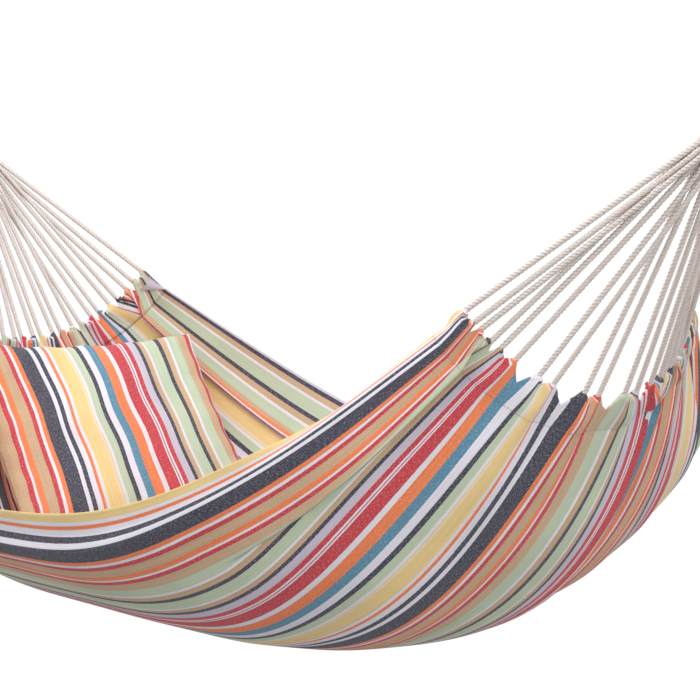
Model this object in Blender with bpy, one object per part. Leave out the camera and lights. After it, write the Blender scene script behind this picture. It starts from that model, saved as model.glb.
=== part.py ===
# Cloth hammock hung from two steel rings, with a matching pillow at its head end.
#
# Frame: metres, +Z up.  The origin is the centre of the head ring.  +X runs from the
# head ring to the foot ring, +Y is the hammock's far side and -Y its near side.
# The hammock hangs between two gather points, where the fans of suspension cord
# come together; each end assembly (bundle, whipping, eye and ring) continues the
# fan's mean pull, up and outwards.
import math
import bpy
import bmesh
import numpy as np
from mathutils import Vector
from mathutils.bvhtree import BVHTree

# ---------------------------------------------------------------- driving dimensions
SPAN = 2.060            # between the two gather points
STRAND = 0.470          # gather point to hem, the same for every strand
HEM_ARC = 0.600         # bunched width of the cloth along each hem
BED_WIDTH = 1.450       # width of the cloth across the middle (1.50 m cut, less its pleats)
HEM_DROP = 0.410        # lowest point of each hem below the gather points
BED_DROP = 0.858        # lowest point of the bed below the gather points
CLOTH = 0.002           # cloth thickness
BED_ROWS = 9            # mesh rows from the bed's middle to each hem
HEM_BAND = 0.045        # last row before the hem

CORD_D = 0.008          # suspension cord
LOOPS = 13              # loop cords, and so tabs, at each end
TURN_R = 0.014          # radius of a loop's turn through its tab, where the tabs are far apart
TURN_SHARE = 0.32       # and at most this share of the tabs' spacing
TURN_LOW = -0.0008      # the turn's lowest point, against the hem line
# Where the cloth lies along the foot hem, as (place across the cloth, place along the
# hem), both from -1 to 1: spread wide left of the keel and bunched on the far side.
HEM_SPREAD = ((-1.0, -1.0), (-0.62, -0.70), (-0.46, -0.45), (-0.15, 0.13), (0.0, 0.34), (1.0, 1.0))
SPREAD_POWER = 2        # how fast that spread fades towards the bed's middle
TAB_HALF = 0.0038       # half the width of a tab's fold
HOOK = 0.0076           # radius of the fold round the cord, to mid-cloth
TAB_ROOT = -0.010       # where a tab's fold starts, against the hem line
NOTCH = (-0.018, -0.002)    # the hem between tabs: rise, and inward

PITCH = 0.0095          # cord spacing inside the bundle
COLUMNS = (3, 5, 5, 5, 5, 3)
FACE = -0.035           # where strands enter the bundle, along the pull from the gather point
MOUTH = 0.010           # length of each side of a strand's bend at the bundle's mouth
CORD_END = 0.005        # where they end inside it

WHIP = (-0.025, 0.035)  # the whipping's two ends, along the pull
WHIP_IN, WHIP_OUT = 0.0303, 0.0345
WHIP_RIB = 0.0015       # depth of the groove between its turns
WHIP_TURNS, WHIP_SIDES = 5, 18

CORE = ((CORD_END + 0.001, 0.029), (0.036, 0.029), (0.048, 0.022), (0.060, 0.013), (0.064, 0.011))
EYE_A, EYE_B, EYE_R = 0.045, 0.030, 0.010       # half length, half width and rope radius
EYE_C = 0.105           # the eye's centre, along the pull
EYE_STEPS, EYE_SIDES, CORE_SIDES = 22, 8, 12
EYE_GAP = 0.001         # between eye and ring
RING_R, RING_WIRE = 0.040, 0.005
RING_AT = EYE_C + EYE_A - EYE_R - RING_WIRE - EYE_GAP + RING_R
PULL = np.array([0.6, 0.0, 0.8])

PILLOW_W, PILLOW_L, PILLOW_T = 0.460, 0.440, 0.140
PILLOW_AT = np.array([-0.568, 0.020, -0.568])    # from the middle of the span
PILLOW_TURN, PILLOW_LEAN = math.radians(10), math.radians(51)
PILLOW_SAG = 0.050      # how far the pillow's middle settles into the bowl of the bed
PILLOW_BOW = 0.05       # how far its sides pull in between the corners, as a share
PILLOW_GAP = 0.008      # from the bed
PILLOW_SEAM = 0.0016    # half the gap between the panels' mid-surfaces at the seam
PILLOW_GRID = 13
FILLING_SET = 0.006     # filling inside the panels
FILLING_INSET = 0.08    # and short of the seam, as a share

ORIGIN = np.array([SPAN / 2 + RING_AT * PULL[0], 0.0, -RING_AT * PULL[2]])


# ---------------------------------------------------------------- helpers
def material(name, color, roughness, metallic=0.0):
    mat = bpy.data.materials.new(name)
    mat.use_nodes = True
    shader = mat.node_tree.nodes["Principled BSDF"]
    shader.inputs["Base Color"].default_value = (*color, 1.0)
    shader.inputs["Roughness"].default_value = roughness
    shader.inputs["Metallic"].default_value = metallic
    return mat


def add(name, data, mat):
    ob = bpy.data.objects.new(name, data)
    bpy.context.scene.collection.objects.link(ob)
    data.materials.append(mat)
    return ob


def mesh_object(name, verts, faces, mat):
    mesh = bpy.data.meshes.new(name)
    mesh.from_pydata([tuple(v) for v in verts], [], faces)
    mesh.validate()
    bm = bmesh.new()
    bm.from_mesh(mesh)
    bmesh.ops.recalc_face_normals(bm, faces=bm.faces)
    bm.to_mesh(mesh)
    bm.free()
    mesh.shade_smooth()
    return add(name, mesh, mat)


def tube(name, points, radius, mat):
    """A cord: a poly curve with a round bevel and filled ends."""
    curve = bpy.data.curves.new(name, "CURVE")
    curve.dimensions = "3D"
    curve.bevel_depth = radius
    curve.bevel_resolution = 2
    curve.use_fill_caps = True
    spline = curve.splines.new("POLY")
    spline.points.add(len(points) - 1)
    for point, at in zip(spline.points, points):
        point.co = (*[float(c) for c in at], 1.0)
    return add(name, curve, mat)


def thicken(ob, thickness):
    mod = ob.modifiers.new("thickness", "SOLIDIFY")
    mod.thickness = thickness
    mod.offset = 0.0
    mod.use_even_offset = True


def unit(v):
    return v / np.linalg.norm(v)


def bezier(a, b, c, t):
    return a * (1 - t) ** 2 + b * 2 * t * (1 - t) + c * t * t


def grid_faces(rows, cols, start=0, closed_rows=False, closed_cols=False):
    """Quads between the points of a grid stored row by row."""
    out = []
    for i in range(rows if closed_rows else rows - 1):
        for j in range(cols if closed_cols else cols - 1):
            i2, j2 = (i + 1) % rows, (j + 1) % cols
            out.append(tuple(start + a * cols + b for a, b in ((i, j), (i, j2), (i2, j2), (i2, j))))
    return out


# ---------------------------------------------------------------- the bed's surface
# Across the cloth, u runs from -1 (near edge) to 1 (far edge).  Each cross-section is
# set by the slope of the cloth along u; along the bed, s runs from -1 (head hem) to 1
# (foot hem), and the sections blend from the hem's smile to the wide, shallow middle.
def blend(hem, middle, s, power):
    return middle + (hem - middle) * abs(s) ** power


def section(s, n=401):
    width = blend(HEM_ARC, BED_WIDTH, s, 4)
    keel = -blend(HEM_DROP, BED_DROP, s, 4)
    a1, a3, a5 = blend(1.0, 0.8, s, 3), blend(0.0, -0.16, s, 3), blend(0.2, 0.0, s, 3)
    u = np.linspace(-1, 1, n)
    slope = a1 * u + a3 * u ** 3 + a5 * u ** 5
    step = (u[1] - u[0]) * width / 2
    y = np.concatenate([[0], np.cumsum((np.cos(slope[1:]) + np.cos(slope[:-1])) / 2 * step)])
    z = np.concatenate([[0], np.cumsum((np.sin(slope[1:]) + np.sin(slope[:-1])) / 2 * step)])
    return u, y - y[n // 2], z - z[n // 2] + keel


GRID_U, HEM_Y, HEM_Z = section(1.0)
HEM_X = SPAN / 2 - np.sqrt(STRAND ** 2 - HEM_Y ** 2 - HEM_Z ** 2)
SECTIONS = {}


def bed_point(u, s):
    """A point of the bed, from the middle of the span."""
    key = round(s, 6)
    if key not in SECTIONS:
        SECTIONS[key] = section(s)
    _, y, z = SECTIONS[key]
    return np.array([np.interp(u, GRID_U, HEM_X) * s, np.interp(u, GRID_U, y), np.interp(u, GRID_U, z)])


def hem_point(u, along, rise, inward):
    """A point near the foot hem: offsets along the hem, along the strand and into the bed."""
    p = bed_point(u, 1.0)
    strand = unit(np.array([SPAN / 2, 0, 0]) - p)
    hem = unit(bed_point(min(u + 0.01, 1), 1.0) - bed_point(max(u - 0.01, -1), 1.0))
    inner = unit(np.cross(strand, hem))
    if inner[2] < 0:
        inner = -inner
    hem = unit(hem - strand * np.dot(hem, strand))
    return p + hem * along + strand * rise + inner * inward


def place(p, head):
    """From the middle of the span to the part's frame, mirrored for the head end."""
    return np.array([-p[0] if head else p[0], p[1], p[2]]) + ORIGIN


def even_rows(count):
    """Values of s at even distances along the keel line, with a last row just before the hem."""
    fine = np.linspace(0, 1, 401)
    keel = np.array([bed_point(0.0, s) for s in fine])
    run = np.concatenate([[0], np.cumsum(np.linalg.norm(np.diff(keel, axis=0), axis=1))])
    distances = [run[-1] * k / count for k in range(count)] + [run[-1] - HEM_BAND]
    return [float(np.interp(d, run, fine)) for d in distances]


def spread(q):
    """Where thread q of the cloth lies along the foot hem: a monotone curve through HEM_SPREAD."""
    x, y = np.array(HEM_SPREAD).T
    rise = np.diff(y) / np.diff(x)
    inner = 2 * rise[:-1] * rise[1:] / (rise[:-1] + rise[1:])
    slope = np.concatenate([rise[:1], inner, rise[-1:]])
    i = int(np.clip(np.searchsorted(x, q) - 1, 0, len(x) - 2))
    step = x[i + 1] - x[i]
    t = (q - x[i]) / step
    return float(y[i] * (1 + 2 * t) * (1 - t) ** 2 + y[i + 1] * t * t * (3 - 2 * t)
                 + step * t * (1 - t) * (slope[i] * (1 - t) - slope[i + 1] * t))


def thread_u(q, s):
    """Where thread q of the cloth lies across the bed at s."""
    return q + (spread(q) - q) * max(0.0, s) ** SPREAD_POWER


def tab_thread(k):
    return -1 + (2 * k + 1) / LOOPS


def bed_columns():
    """(thread, offset along the hem, in a tab): the sides of each tab, and each notch's middle."""
    out = []
    for k in range(LOOPS):
        q = tab_thread(k)
        out += [(q - 1 / LOOPS, 0.0, False), (q, -TAB_HALF, True), (q, TAB_HALF, True)]
    return out + [(1.0, 0.0, False)]


def end_point(q, along, rise, inward, head):
    """As hem_point, for a thread of the cloth at either hem, in the part's frame."""
    return place(hem_point(thread_u(q, -1.0 if head else 1.0), along, rise, inward), head)


def tab_fold():
    """(rise, inward) pairs: up outside the cord, over it, and down inside to the stitch line."""
    over = [(HOOK * math.sin(a), -HOOK * math.cos(a)) for a in np.radians([0, 60, 120, 180])]
    return over + [(-0.006, 0.0046), (-0.015, -0.0034)]


def make_bed():
    columns = bed_columns()
    inner_rows = even_rows(BED_ROWS)
    verts, faces, ends = [], [], {}
    rows = [None] + [-s for s in inner_rows[:0:-1]] + inner_rows + [None]
    for r, s in enumerate(rows):
        for q, along, in_tab in columns:
            if s is None:
                rise, inward = (TAB_ROOT, -HOOK) if in_tab else NOTCH
                verts.append(end_point(q, along, rise, inward, r == 0))
            else:
                u = thread_u(q, s) + along / (HEM_ARC / 2)
                verts.append(bed_point(float(np.clip(u, -1, 1)), s) + ORIGIN)
    faces += grid_faces(len(rows), len(columns))
    for head, first in ((True, 0), (False, (len(rows) - 1) * len(columns))):
        for c in range(len(columns) - 1):
            if not (columns[c][2] and columns[c + 1][2]):
                continue
            left, right = first + c, first + c + 1
            for rise, inward in tab_fold():
                verts += [end_point(*columns[i][:2], rise, inward, head) for i in (c, c + 1)]
                faces.append((left, right, len(verts) - 1, len(verts) - 2))
                left, right = len(verts) - 2, len(verts) - 1
    bed = mesh_object("bed_cloth", verts, faces, CLOTH_MAT)
    thicken(bed, CLOTH)
    return bed


# ---------------------------------------------------------------- cords, whipping, eye and ring
def pull_frame(head):
    """The gather point, the pull direction, and the bundle's two cross directions."""
    side = -1 if head else 1
    g = np.array([side * SPAN / 2, 0, 0]) + ORIGIN
    layer = np.array([PULL[2] * side, 0.0, -PULL[0]])
    return g, PULL * np.array([side, 1, 1]), np.array([0.0, 1.0, 0.0]), layer


def bundle_slots(head):
    """Where each strand sits in the bundle, in hem order, as offsets from its centre line."""
    _, _, across, layer = pull_frame(head)
    out = []
    for c, count in enumerate(COLUMNS):
        for j in range(count):
            step = (j - (count - 1) / 2) * PITCH * (1 if c < len(COLUMNS) / 2 else -1)
            out.append(across * ((c - (len(COLUMNS) - 1) / 2) * PITCH) + layer * step)
    return out


def leg_path(g, d, slot, foot):
    """A strand from inside the bundle, round the bend at its mouth, to the top of its turn."""
    face = g + d * FACE + slot
    into, away = face + d * MOUTH, face + unit(foot - face) * MOUTH
    return [g + d * CORD_END + slot, into, bezier(into, face, away, 0.5), away]


def make_cords(head):
    g, d, _, _ = pull_frame(head)
    slots = bundle_slots(head)
    s = -1.0 if head else 1.0
    for k in range(LOOPS):
        q = tab_thread(k)
        pitch = (thread_u(q + 1 / LOOPS, s) - thread_u(q - 1 / LOOPS, s)) * HEM_ARC / 2
        radius = min(TURN_R, TURN_SHARE * pitch)
        turn = []
        for a in np.radians(range(0, 181, 30)):
            rise = radius * (1 - math.sin(a)) + TURN_LOW
            turn.append(end_point(q, -radius * math.cos(a), rise, 0, head))
        path = leg_path(g, d, slots[2 * k], turn[0]) + turn + leg_path(g, d, slots[2 * k + 1], turn[-1])[::-1]
        tube("cord_%s_%02d" % ("head" if head else "foot", k + 1), path, CORD_D / 2, CORD_MAT)


def turned(g, d, across, layer, profile, sides):
    """Rings of points about the pull line, for (along, radius) pairs."""
    angles = [2 * math.pi * i / sides for i in range(sides)]
    return [g + d * e + (across * math.cos(a) + layer * math.sin(a)) * r for e, r in profile for a in angles]


def make_whipping(head):
    """A tight binding of cord turns round the bundle, made as one ribbed sleeve."""
    profile = [(WHIP[0], WHIP_IN)]
    step = (WHIP[1] - WHIP[0]) / WHIP_TURNS
    for k in range(WHIP_TURNS):
        profile += [(WHIP[0] + step * (k + 0.05), WHIP_OUT - WHIP_RIB), (WHIP[0] + step * (k + 0.5), WHIP_OUT)]
    profile += [(WHIP[1], WHIP_OUT - WHIP_RIB), (WHIP[1], WHIP_IN)]
    verts = turned(*pull_frame(head), profile, WHIP_SIDES)
    faces = grid_faces(len(profile), WHIP_SIDES, closed_rows=True, closed_cols=True)
    mesh_object("whipping_" + ("head" if head else "foot"), verts, faces, CORD_MAT)


def make_eye(head):
    """The bundle's core tapers out of the whipping into a closed rope loop."""
    end = "head" if head else "foot"
    g, d, across, layer = pull_frame(head)
    verts = turned(g, d, across, layer, CORE, CORE_SIDES)
    faces = grid_faces(len(CORE), CORE_SIDES, closed_cols=True)
    faces += [tuple(range(CORE_SIDES)), tuple(range((len(CORE) - 1) * CORE_SIDES, len(CORE) * CORE_SIDES))]
    core = mesh_object("eye_" + end, verts, faces, CORD_MAT)
    verts = []
    for a in [2 * math.pi * i / EYE_STEPS for i in range(EYE_STEPS)]:
        centre = g + d * (EYE_C + EYE_A * math.cos(a)) + layer * (EYE_B * math.sin(a))
        out = unit(d * (math.cos(a) / EYE_A) + layer * (math.sin(a) / EYE_B))
        for b in [2 * math.pi * j / EYE_SIDES for j in range(EYE_SIDES)]:
            verts.append(centre + (out * math.cos(b) + across * math.sin(b)) * EYE_R)
    faces = grid_faces(EYE_STEPS, EYE_SIDES, closed_rows=True, closed_cols=True)
    loop = mesh_object("eye_loop_guide_" + end, verts, faces, CORD_MAT)
    join = core.modifiers.new("loop", "BOOLEAN")
    join.operation = "UNION"
    join.object = loop
    loop.hide_render = True
    loop.display_type = "WIRE"


def make_ring(head):
    """A round-wire steel torus that the eye hangs from, turned from +Z to the layer direction."""
    g, d, _, layer = pull_frame(head)
    bpy.ops.mesh.primitive_torus_add(major_segments=28, minor_segments=8,
                                     major_radius=RING_R, minor_radius=RING_WIRE)
    ring = bpy.context.object
    ring.name = "ring_" + ("head" if head else "foot")
    ring.data.materials.append(STEEL_MAT)
    ring.data.shade_smooth()
    ring.location = Vector(g + d * RING_AT)
    ring.rotation_mode = "QUATERNION"
    ring.rotation_quaternion = Vector((0, 0, 1)).rotation_difference(Vector(layer))


# ---------------------------------------------------------------- the pillow
PILLOW_ACROSS = np.array([math.sin(PILLOW_TURN), math.cos(PILLOW_TURN), 0.0])
PILLOW_DOWN = np.array([math.cos(PILLOW_TURN) * math.cos(PILLOW_LEAN),
                        -math.sin(PILLOW_TURN) * math.cos(PILLOW_LEAN), -math.sin(PILLOW_LEAN)])
PILLOW_OUT = -np.cross(PILLOW_ACROSS, PILLOW_DOWN)


def pillow_base(a, b):
    """A point of the seam surface: the sides bow in a little, the middle settles into the bed."""
    x = a * (1 - PILLOW_BOW * (1 - b * b)) * PILLOW_W / 2
    y = b * (1 - PILLOW_BOW * (1 - a * a)) * PILLOW_L / 2
    sag = PILLOW_SAG * ((1 - a * a) + (1 - b * b)) / 2
    return PILLOW_AT + ORIGIN + PILLOW_ACROSS * x + PILLOW_DOWN * y - PILLOW_OUT * sag


def front_height(a, b):
    return PILLOW_T / 2 * (max(0.0, 1 - a * a) * max(0.0, 1 - b * b)) ** 0.42


def back_height(a, b, bed_tree):
    """How far the back bulges before it meets the bed: it stops a few millimetres short."""
    full, height, step = front_height(a, b), 0.0, 0.002
    while height < full:
        reach = Vector(pillow_base(a, b) - PILLOW_OUT * (height + step))
        if bed_tree.find_nearest(reach)[3] < PILLOW_GAP:
            break
        height += step
    return min(height, full)


def pillow_grid(side, offset, bed_tree, inset=0.0):
    """One face of the pillow: side is 1 for the front and -1 for the back."""
    line = [math.sin(math.pi / 2 * (2 * i / (PILLOW_GRID - 1) - 1)) * (1 - inset) for i in range(PILLOW_GRID)]
    points = []
    for a in line:
        for b in line:
            height = front_height(a, b) if side > 0 else back_height(a, b, bed_tree)
            points.append(pillow_base(a, b) + PILLOW_OUT * side * (height + offset))
    return points


def make_pillow(bed):
    bpy.context.view_layer.update()
    bed_tree = BVHTree.FromObject(bed, bpy.context.evaluated_depsgraph_get())
    n = PILLOW_GRID
    for name, side in (("pillow_front", 1), ("pillow_back", -1)):
        panel = mesh_object(name, pillow_grid(side, PILLOW_SEAM, bed_tree), grid_faces(n, n), CLOTH_MAT)
        thicken(panel, CLOTH)
    # filling: one cushion of fibre between the two panels, clear of the seam
    verts = pillow_grid(1, -FILLING_SET, bed_tree, FILLING_INSET) \
        + pillow_grid(-1, -FILLING_SET, bed_tree, FILLING_INSET)
    faces = grid_faces(n, n) + [tuple(reversed(f)) for f in grid_faces(n, n, n * n)]
    rim = [i * n for i in range(n)] + [(n - 1) * n + j for j in range(1, n)] \
        + [i * n + n - 1 for i in range(n - 2, -1, -1)] + [j for j in range(n - 2, 0, -1)]
    for a, b in zip(rim, rim[1:] + rim[:1]):
        faces.append((a, b, n * n + b, n * n + a))
    mesh_object("pillow_filling", verts, faces, FILL_MAT)


# ---------------------------------------------------------------- build
for old in list(bpy.data.objects):
    bpy.data.objects.remove(old, do_unlink=True)
CLOTH_MAT = material("striped_cotton", (0.62, 0.42, 0.33), 0.9)
CORD_MAT = material("cotton_cord", (0.72, 0.64, 0.58), 0.9)
FILL_MAT = material("fibre_filling", (0.85, 0.85, 0.83), 1.0)
STEEL_MAT = material("steel", (0.62, 0.62, 0.64), 0.3, 1.0)

the_bed = make_bed()
for at_head in (True, False):
    make_cords(at_head)
    make_whipping(at_head)
    make_eye(at_head)
    make_ring(at_head)
make_pillow(the_bed)
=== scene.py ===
"""The looks of a cloth hammock with looped cord ends and a loose pillow.

Everything is in metres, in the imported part's frame: +X from the head ring to the foot
ring, +Y to the far side, +Z up.  Points worked out "from the middle of the span" have
ORIGIN added to reach that frame.
"""
import math

import bpy
import numpy as np
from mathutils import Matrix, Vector
from mathutils.bvhtree import BVHTree


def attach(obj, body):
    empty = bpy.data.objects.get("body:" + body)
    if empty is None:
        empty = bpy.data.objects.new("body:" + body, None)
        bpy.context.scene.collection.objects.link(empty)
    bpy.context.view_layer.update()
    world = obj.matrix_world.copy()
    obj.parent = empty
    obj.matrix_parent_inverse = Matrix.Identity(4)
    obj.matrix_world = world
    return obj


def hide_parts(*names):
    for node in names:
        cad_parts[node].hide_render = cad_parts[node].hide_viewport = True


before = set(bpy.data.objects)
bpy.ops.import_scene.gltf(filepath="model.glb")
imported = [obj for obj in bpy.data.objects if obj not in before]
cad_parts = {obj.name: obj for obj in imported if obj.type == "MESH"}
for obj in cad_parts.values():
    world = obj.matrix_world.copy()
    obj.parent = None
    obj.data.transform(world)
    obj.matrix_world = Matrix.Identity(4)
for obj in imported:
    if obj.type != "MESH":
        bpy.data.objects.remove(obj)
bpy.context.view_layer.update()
RANDOM = np.random.RandomState(11)

# ---------------------------------------------------------------- the CAD's dimensions
SPAN, STRAND = 2.060, 0.470         # gather point to gather point, and gather point to hem
HEM_ARC, BED_WIDTH = 0.600, 1.450   # width of the bed's section at the hems and the middle
HEM_DROP, BED_DROP = 0.410, 0.858
CORD_D, LOOPS = 0.008, 13
TURN_R, TURN_SHARE, TURN_LOW = 0.014, 0.32, -0.0008
HEM_SPREAD = ((-1.0, -1.0), (-0.62, -0.70), (-0.46, -0.45), (-0.15, 0.13), (0.0, 0.34), (1.0, 1.0))
PITCH, COLUMNS = 0.0095, (3, 5, 5, 5, 5, 3)         # how the strands lie in a bundle
FACE, MOUTH, CORD_END = -0.035, 0.010, 0.005        # where strands part, bend and end in it
WHIP, WHIP_IN, WHIP_OUT = (-0.025, 0.035), 0.0303, 0.0345
EYE_A, EYE_B, EYE_R, EYE_C = 0.045, 0.030, 0.010, 0.105
RING_R, RING_WIRE, EYE_GAP = 0.040, 0.005, 0.001
RING_AT = EYE_C + EYE_A - EYE_R - RING_WIRE - EYE_GAP + RING_R
PULL = np.array([0.6, 0.0, 0.8])
PILLOW_W, PILLOW_L, PILLOW_T = 0.460, 0.440, 0.140
PILLOW_AT = np.array([-0.568, 0.020, -0.568])
PILLOW_TURN, PILLOW_LEAN, PILLOW_SAG, PILLOW_BOW = math.radians(10), math.radians(51), 0.050, 0.05
ORIGIN = np.array([SPAN / 2 + RING_AT * PULL[0], 0.0, -RING_AT * PULL[2]])

# ---------------------------------------------------------------- the cloth
# As cut: about 2.02 m from hem to hem along the keel, and 0.074 m turned back at each end.
CLOTH_W, CLOTH_L = 1.500, 2.170
CLOTH = 0.0014                      # its thickness
BED_COLS = 28                       # mesh columns to each tab and notch
BED_ROWS = 115                      # rows from the middle to each stitch line
STITCH_S = 0.974                    # the section that the stitch line lies in
STITCH_AT = 0.954                   # and its distance from the cloth's middle
HEM_DEPTH = 0.055                   # cloth from the stitch line to the fold at the hem
FOLD_RUN = 0.006                    # cloth that each radian of the fold takes up
FLAP_START = 0.074                  # cloth from the stitch line, over the fold, to the flap
HEM_ROWS, ARCH_ROWS = 12, 8
TAB_SHARE = 0.68                    # how much of each tab and notch is tab
TAB_ANGLE = math.radians(84)        # how far round its cord's turn a tab's side reaches
NOTCH_DEPTH = 0.027
# Where each thread lies across the bed's middle, as (place in the cloth, place in the bed).
MID_SPREAD = ((-1.0, -1.0), (-0.91, -0.89), (-0.50, -0.41), (-0.20, -0.15), (0.20, 0.20), (1.0, 1.0))

# The woven pattern, in millimetres, over one repeat.  The near edge starts PATTERN_START in.
PATTERN = (
    ("yellow", 27), ("white", 6.5), ("orange", 6), ("white", 10), ("navy", 9), ("white", 8.5),
    ("navy", 27.5), ("orange", 9.5), ("white", 5.5), ("red", 9.5), ("tan", 18), ("orange", 10.5),
    ("white", 4.5), ("red", 9.5), ("tan", 18), ("green", 21.5), ("white", 5.5), ("tan", 11.5),
    ("navy", 8), ("green", 21.5), ("white", 4.5), ("tan", 9.5), ("navy", 7), ("lavender", 15),
    ("red", 9.5), ("white", 4), ("red", 2), ("white", 3), ("red", 22.5), ("white", 9.5),
    ("orange", 19), ("blue", 15.5), ("white", 12.5), ("navy", 8.5), ("green", 14), ("white", 5.5),
    ("yellow", 2.5), ("white", 2),
)
PATTERN_START = 0.0135
YARN = {
    "white": (0.82, 0.79, 0.86), "yellow": (0.90, 0.65, 0.27), "orange": (0.93, 0.22, 0.06),
    "red": (0.62, 0.035, 0.05), "navy": (0.045, 0.045, 0.075), "tan": (0.62, 0.41, 0.24),
    "green": (0.55, 0.63, 0.45), "blue": (0.09, 0.27, 0.40), "lavender": (0.62, 0.56, 0.66),
}


# ---------------------------------------------------------------- small helpers
def unit(v):
    v = np.asarray(v, float)
    return v / np.linalg.norm(v, axis=-1, keepdims=True)


def smooth(x):
    x = np.clip(x, 0.0, 1.0)
    return x * x * (3 - 2 * x)


def bezier(a, b, c, t):
    """The quadratic curve from a to c that is pulled towards b."""
    return a * (1 - t) ** 2 + b * 2 * t * (1 - t) + c * t * t


def monotone(knots, q):
    """A smooth rising curve through (x, y) knots, at the points q."""
    x, y = np.array(knots).T
    rise = np.diff(y) / np.diff(x)
    inner = 2 * rise[:-1] * rise[1:] / (rise[:-1] + rise[1:])
    slope = np.concatenate([rise[:1], inner, rise[-1:]])
    q = np.asarray(q, float)
    i = np.clip(np.searchsorted(x, q) - 1, 0, len(x) - 2)
    step = x[i + 1] - x[i]
    t = (q - x[i]) / step
    return (y[i] * (1 + 2 * t) * (1 - t) ** 2 + y[i + 1] * t * t * (3 - 2 * t)
            + step * t * (1 - t) * (slope[i] * (1 - t) - slope[i + 1] * t))


def mesh_piece(name, verts, faces, mat, uvs=None):
    """A smooth mesh object; uvs holds one pair to each vertex."""
    mesh = bpy.data.meshes.new(name)
    mesh.from_pydata(np.asarray(verts, float).tolist(), [], faces)
    if uvs is not None:
        layer = mesh.uv_layers.new(name="cloth")
        corner = np.zeros(len(mesh.loops), int)
        mesh.loops.foreach_get("vertex_index", corner)
        layer.data.foreach_set("uv", np.asarray(uvs, np.float32)[corner].ravel())
    mesh.shade_smooth()
    ob = bpy.data.objects.new(name, mesh)
    bpy.context.scene.collection.objects.link(ob)
    mesh.materials.append(mat)
    return ob


def grid_faces(rows, cols, closed_rows=False, closed_cols=False, start=0):
    """The four-sided faces of a grid of vertices, which may close on itself either way."""
    i, j = np.meshgrid(np.arange(rows if closed_rows else rows - 1),
                       np.arange(cols if closed_cols else cols - 1), indexing="ij")
    i2, j2 = (i + 1) % rows, (j + 1) % cols
    quads = np.stack([i * cols + j, i * cols + j2, i2 * cols + j2, i2 * cols + j], axis=-1)
    return (quads.reshape(-1, 4) + start).tolist()


def end_caps(rows, cols):
    """The two flat ends of a tube made by grid_faces."""
    return [list(range(cols))[::-1], list(range((rows - 1) * cols, rows * cols))]


def end_name(head):
    return "head" if head else "foot"


# ---------------------------------------------------------------- the bed's surface, as in the CAD
# s runs along the bed: -1 at the head hem, 0 in the middle and 1 at the foot hem.  u runs
# across it, from -1 at the near edge to 1 at the far edge.  q is a thread of the cloth, by its
# place in the flat cloth, from -1 to 1 the same way.
SECTION_POINTS = 401


def blend(hem, middle, s, power):
    """A measure that goes from its middle value to its hem value with a power of s."""
    return middle + (hem - middle) * abs(s) ** power


def section(s):
    """The bed's cross-section at s: places u, and their y and z."""
    width = blend(HEM_ARC, BED_WIDTH, s, 4)
    keel = -blend(HEM_DROP, BED_DROP, s, 4)
    # the slope across the section is an odd polynomial of u, with these coefficients
    a1, a3, a5 = blend(1.0, 0.8, s, 3), blend(0.0, -0.16, s, 3), blend(0.2, 0.0, s, 3)
    u = np.linspace(-1, 1, SECTION_POINTS)
    slope = a1 * u + a3 * u ** 3 + a5 * u ** 5
    step = (u[1] - u[0]) * width / 2
    y = np.concatenate([[0], np.cumsum((np.cos(slope[1:]) + np.cos(slope[:-1])) / 2 * step)])
    z = np.concatenate([[0], np.cumsum((np.sin(slope[1:]) + np.sin(slope[:-1])) / 2 * step)])
    keel_index = SECTION_POINTS // 2
    return u, y - y[keel_index], z - z[keel_index] + keel


# Every point of a hem is one strand's length from its gather point.
GRID_U, HEM_Y, HEM_Z = section(1.0)
HEM_X = SPAN / 2 - np.sqrt(STRAND ** 2 - HEM_Y ** 2 - HEM_Z ** 2)


def bed_row(u, s):
    """Points of the bed at the places u of the section s, from the middle of the span.  Past
    the edges the section runs on straight."""
    _, y, z = section(s)
    x = np.interp(u, GRID_U, HEM_X) * s
    out = np.stack([x, np.interp(u, GRID_U, y), np.interp(u, GRID_U, z)], axis=-1)
    over = np.asarray(u) - np.clip(u, -1, 1)
    end = np.where(over > 0, len(y) - 1, 1)
    rate = GRID_U[1] - GRID_U[0]
    out[..., 1] += over * (y[end] - y[end - 1]) / rate
    out[..., 2] += over * (z[end] - z[end - 1]) / rate
    return out


def hem_frames(u):
    """At the foot hem: points, and unit vectors along the strand, along the hem and inwards."""
    p = bed_row(u, 1.0)
    strand = unit(np.array([SPAN / 2, 0, 0]) - p)
    hem = unit(bed_row(np.minimum(u + 0.01, 1), 1.0) - bed_row(np.maximum(u - 0.01, -1), 1.0))
    inner = unit(np.cross(strand, hem))
    return p, strand, unit(hem - strand * np.sum(hem * strand, axis=-1, keepdims=True)), inner


def place(p, head):
    """A point of the foot end put in the frame, mirrored where it is for the head end."""
    return np.asarray(p, float) * (np.array([-1, 1, 1]) if head else 1) + ORIGIN


def thread_at_hem(q, head):
    """Where thread q of the cloth lies along a hem."""
    return np.asarray(q, float) if head else monotone(HEM_SPREAD, q)


def tab_thread(k):
    """The thread in the middle of tab k."""
    return -1 + (2 * k + 1) / LOOPS


def tab_of(q):
    """The number of the tab that each thread q belongs to."""
    return np.clip(((q + 1) * LOOPS / 2).astype(int), 0, LOOPS - 1)


def tab_pitch(head):
    """Each tab's width along the hem, with its notch, in u."""
    q = tab_thread(np.arange(LOOPS))
    return thread_at_hem(q + 1 / LOOPS, head) - thread_at_hem(q - 1 / LOOPS, head)


def tab_turns(head):
    """Each tab's place along the hem and the radius of its loop's turn."""
    pitch = tab_pitch(head) * HEM_ARC / 2
    return thread_at_hem(tab_thread(np.arange(LOOPS)), head), np.minimum(TURN_R, TURN_SHARE * pitch)


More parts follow.
